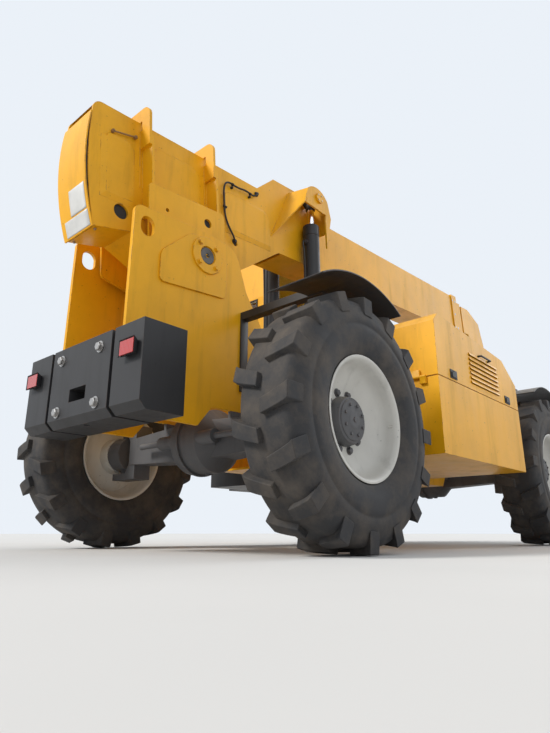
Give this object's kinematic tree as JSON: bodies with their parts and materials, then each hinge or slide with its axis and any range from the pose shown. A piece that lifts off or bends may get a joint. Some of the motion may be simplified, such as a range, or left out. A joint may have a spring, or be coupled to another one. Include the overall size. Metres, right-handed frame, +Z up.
{
  "type": "telehandler",
  "caption": "Telescopic handler with a telescoping boom on a pivot at the rear, cab at one side, engine pod at the other, lift rams beside the boom, steered wheels and a fork carriage.",
  "frame": {"origin": "on the ground under the middle of the machine's box", "axes": "+X to the front along the machine, +Y to its left, +Z up"},
  "size_m": [7.6476, 2.435, 2.8811],
  "materials": {
    "paint": "gloss orange-yellow machine paint",
    "dark_paint": "satin near-black paint",
    "axle_paint": "painted casting",
    "rim_paint": "satin pale paint",
    "tyre": "moulded tyre rubber",
    "chrome_rod": "hard chrome",
    "pin_steel": "turned steel",
    "hot_steel": "heat-darkened steel",
    "fork_steel": "black forged steel",
    "glass": "clear toughened glass",
    "lamp": "clear lens in a black body",
    "seat_cover": "woven seat cloth",
    "cab_plastic": "grained dark plastic"
  },
  "bodies": {
    "chassis": {"frame_plate_right": "paint", "frame_plate_left": "paint", "frame_cross": "paint", "counterweight": "dark_paint", "axle_front": "axle_paint", "axle_rear": "axle_paint", "engine_pod": "paint", "engine_block": "dark_paint", "tank": "dark_paint", "cab_shell": "paint", "cab_glass": "glass", "seat": "seat_cover", "controls": "cab_plastic", "mudguards": "dark_paint", "lamps": "lamp", "chassis_pins": "pin_steel", "exhaust": "hot_steel"},
    "bonnet": {"engine_bonnet": "paint"},
    "door": {"cab_door": "paint", "door_glass": "glass"},
    "boom": {"boom_outer": "paint", "boom_tail_cover": "paint", "boom_pins": "pin_steel", "ram_brackets": "paint", "boom_line": "dark_paint"},
    "boom_mid": {"boom_mid": "paint"},
    "boom_inner": {"boom_inner": "paint", "nose_pins": "pin_steel"},
    "carriage": {"fork_carriage": "dark_paint", "forks": "fork_steel"},
    "tilt_barrel": {"tilt_barrel": "dark_paint"},
    "tilt_rod": {"tilt_rod": "chrome_rod"},
    "knuckle_front_left": {"knuckle_front_left": "axle_paint"},
    "wheel_front_left": {"rim_front_left": "rim_paint", "tyre_front_left": "tyre"},
    "knuckle_front_right": {"knuckle_front_right": "axle_paint"},
    "wheel_front_right": {"rim_front_right": "rim_paint", "tyre_front_right": "tyre"},
    "knuckle_rear_left": {"knuckle_rear_left": "axle_paint"},
    "wheel_rear_left": {"rim_rear_left": "rim_paint", "tyre_rear_left": "tyre"},
    "knuckle_rear_right": {"knuckle_rear_right": "axle_paint"},
    "wheel_rear_right": {"rim_rear_right": "rim_paint", "tyre_rear_right": "tyre"},
    "lift_barrel_right": {"lift_barrel_right": "dark_paint"},
    "lift_rod_right": {"lift_rod_right": "chrome_rod"},
    "lift_barrel_left": {"lift_barrel_left": "dark_paint"},
    "lift_rod_left": {"lift_rod_left": "chrome_rod"}
  },
  "joints": [
    {"name": "steer_front_left", "type": "hinge", "parent": "chassis", "child": "knuckle_front_left", "pos_m": [0.36245, 0.86, 0.645], "axis": [0, 0, 1], "range_deg": [-35, 35]},
    {"name": "spin_front_left", "type": "hinge", "parent": "knuckle_front_left", "child": "wheel_front_left", "pos_m": [0.36245, 1.045, 0.645], "axis": [0, 1, 0], "continuous": true},
    {"name": "steer_front_right", "type": "hinge", "parent": "chassis", "child": "knuckle_front_right", "pos_m": [0.36245, -0.86, 0.645], "axis": [0, 0, 1], "range_deg": [-35, 35]},
    {"name": "spin_front_right", "type": "hinge", "parent": "knuckle_front_right", "child": "wheel_front_right", "pos_m": [0.36245, -1.045, 0.645], "axis": [0, 1, 0], "continuous": true},
    {"name": "steer_rear_left", "type": "hinge", "parent": "chassis", "child": "knuckle_rear_left", "pos_m": [-2.73755, 0.86, 0.645], "axis": [0, 0, 1], "range_deg": [-35, 35]},
    {"name": "spin_rear_left", "type": "hinge", "parent": "knuckle_rear_left", "child": "wheel_rear_left", "pos_m": [-2.73755, 1.045, 0.645], "axis": [0, 1, 0], "continuous": true},
    {"name": "steer_rear_right", "type": "hinge", "parent": "chassis", "child": "knuckle_rear_right", "pos_m": [-2.73755, -0.86, 0.645], "axis": [0, 0, 1], "range_deg": [-35, 35]},
    {"name": "spin_rear_right", "type": "hinge", "parent": "knuckle_rear_right", "child": "wheel_rear_right", "pos_m": [-2.73755, -1.045, 0.645], "axis": [0, 1, 0], "continuous": true},
    {"name": "boom_lift", "type": "hinge", "parent": "chassis", "child": "boom", "pos_m": [-3.06755, 0, 1.706], "axis": [0, -1, 0], "range_deg": [-8.5, 63.5]},
    {"name": "boom_mid_slide", "type": "slide", "parent": "boom", "child": "boom_mid", "axis": [0.9969, 0, 0.0785], "range_m": [0, 3.2]},
    {"name": "boom_inner_slide", "type": "slide", "parent": "boom_mid", "child": "boom_inner", "axis": [0.9969, 0, 0.0785], "range_m": [0, 3.21]},
    {"name": "lift_barrel_right_pivot", "type": "hinge", "parent": "chassis", "child": "lift_barrel_right", "pos_m": [-1.86755, -0.216, 0.76], "axis": [0, -1, 0], "range_deg": [-4.83, 32.88]},
    {"name": "lift_rod_right_slide", "type": "slide", "parent": "lift_barrel_right", "child": "lift_rod_right", "axis": [-0.0112, 0, 0.9999], "range_m": [-0.1415, 1.0246]},
    {"name": "lift_barrel_left_pivot", "type": "hinge", "parent": "chassis", "child": "lift_barrel_left", "pos_m": [-1.86755, 0.216, 0.76], "axis": [0, -1, 0], "range_deg": [-4.83, 32.88]},
    {"name": "lift_rod_left_slide", "type": "slide", "parent": "lift_barrel_left", "child": "lift_rod_left", "axis": [-0.0112, 0, 0.9999], "range_m": [-0.1415, 1.0246]},
    {"name": "carriage_tilt", "type": "hinge", "parent": "boom_inner", "child": "carriage", "pos_m": [2.24383, 0, 1.19615], "axis": [0, 1, 0], "range_deg": [-24, 100]},
    {"name": "tilt_barrel_pivot", "type": "hinge", "parent": "boom_inner", "child": "tilt_barrel", "pos_m": [1.89951, 0, 2.26334], "axis": [0, -1, 0], "range_deg": [-2.5, 0.98]},
    {"name": "tilt_rod_slide", "type": "slide", "parent": "tilt_barrel", "child": "tilt_rod", "axis": [0.4695, 0, -0.8829], "range_m": [-0.0804, 0.3192]},
    {"name": "cab_door_hinge", "type": "hinge", "parent": "chassis", "child": "door", "pos_m": [-1.66555, 1.201, 1.6], "axis": [0, 0, 1], "range_deg": [0, 90]},
    {"name": "bonnet_hinge", "type": "hinge", "parent": "chassis", "child": "bonnet", "pos_m": [-1.89955, -0.75265, 1.053], "axis": [0, -1, 0], "range_deg": [0, 55]}
  ],
  "couplings": [
    {"joint": "steer_front_right", "follows": "steer_front_left", "ratio": 1},
    {"joint": "steer_rear_right", "follows": "steer_rear_left", "ratio": 1},
    {"joint": "boom_inner_slide", "follows": "boom_mid_slide", "ratio": 1},
    {"joint": "lift_barrel_right_pivot", "follows": "boom_lift", "ratio": 0.51},
    {"joint": "lift_rod_right_slide", "follows": "boom_lift", "m_per_rad": 0.92},
    {"joint": "lift_barrel_left_pivot", "follows": "boom_lift", "ratio": 0.51},
    {"joint": "lift_rod_left_slide", "follows": "boom_lift", "m_per_rad": 0.92},
    {"joint": "tilt_barrel_pivot", "follows": "carriage_tilt", "ratio": -0.02},
    {"joint": "tilt_rod_slide", "follows": "carriage_tilt", "m_per_rad": 0.18}
  ]
}
